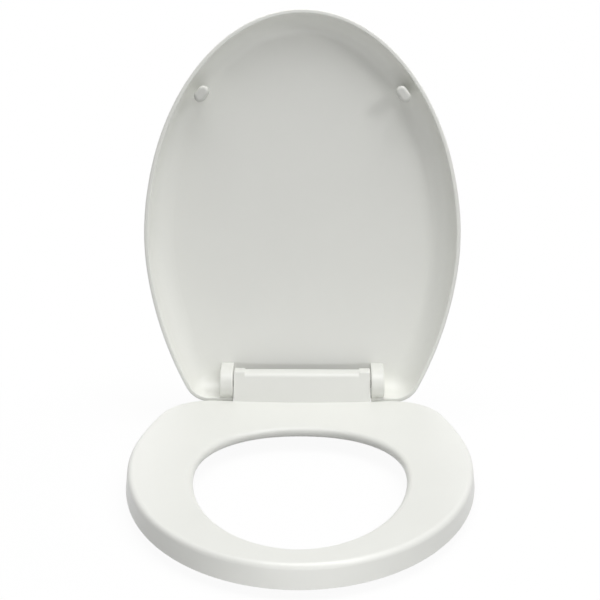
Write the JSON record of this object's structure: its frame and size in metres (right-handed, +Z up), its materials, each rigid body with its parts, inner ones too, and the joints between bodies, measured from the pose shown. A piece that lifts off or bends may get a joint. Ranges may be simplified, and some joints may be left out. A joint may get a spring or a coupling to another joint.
{
  "type": "toilet seat",
  "caption": "Oval toilet seat with a dished lid that lifts off a ring on soft-close dampers in a rear hinge block, fixed to the pan by slotted feet.",
  "frame": {"origin": "on the pan's deck, midway between the fixing slots and straight under the hinge axis", "axes": "+X along the hinge axis to the right of someone facing the seat from the front, +Y towards the back, +Z up"},
  "size_m": [0.37, 0.5062, 0.4857],
  "materials": {
    "white_plastic": "gloss",
    "buffer_rubber": "satin",
    "pad_rubber": "matte",
    "seal_rubber": "satin",
    "base_plastic": "satin",
    "damper_plastic": "satin",
    "shaft_plastic": "satin"
  },
  "bodies": {
    "base": {"hinge_base_left": "base_plastic", "hinge_base_right": "base_plastic", "base_pad_left": "pad_rubber", "base_pad_right": "pad_rubber", "damper_shaft_right": "shaft_plastic"},
    "ring": {"ring": "white_plastic", "ring_buffer_front_left": "buffer_rubber", "ring_buffer_front_right": "buffer_rubber", "ring_buffer_rear_left": "buffer_rubber", "ring_buffer_rear_right": "buffer_rubber", "damper_housing_left": "damper_plastic", "damper_housing_right": "damper_plastic", "damper_cap_left": "damper_plastic", "damper_cap_right": "damper_plastic", "damper_seal_left": "seal_rubber", "damper_seal_right": "seal_rubber"},
    "lid": {"lid": "white_plastic", "lid_buffer_left": "buffer_rubber", "lid_buffer_right": "buffer_rubber", "damper_shaft_left": "shaft_plastic"}
  },
  "joints": [
    {"name": "ring_hinge", "type": "hinge", "parent": "base", "child": "ring", "pos_m": [0, 0, 0.05], "axis": [-1, 0, 0], "range_deg": [0, 95]},
    {"name": "lid_hinge", "type": "hinge", "parent": "ring", "child": "lid", "pos_m": [0, 0, 0.05], "axis": [1, 0, 0], "range_deg": [0, 96]}
  ]
}
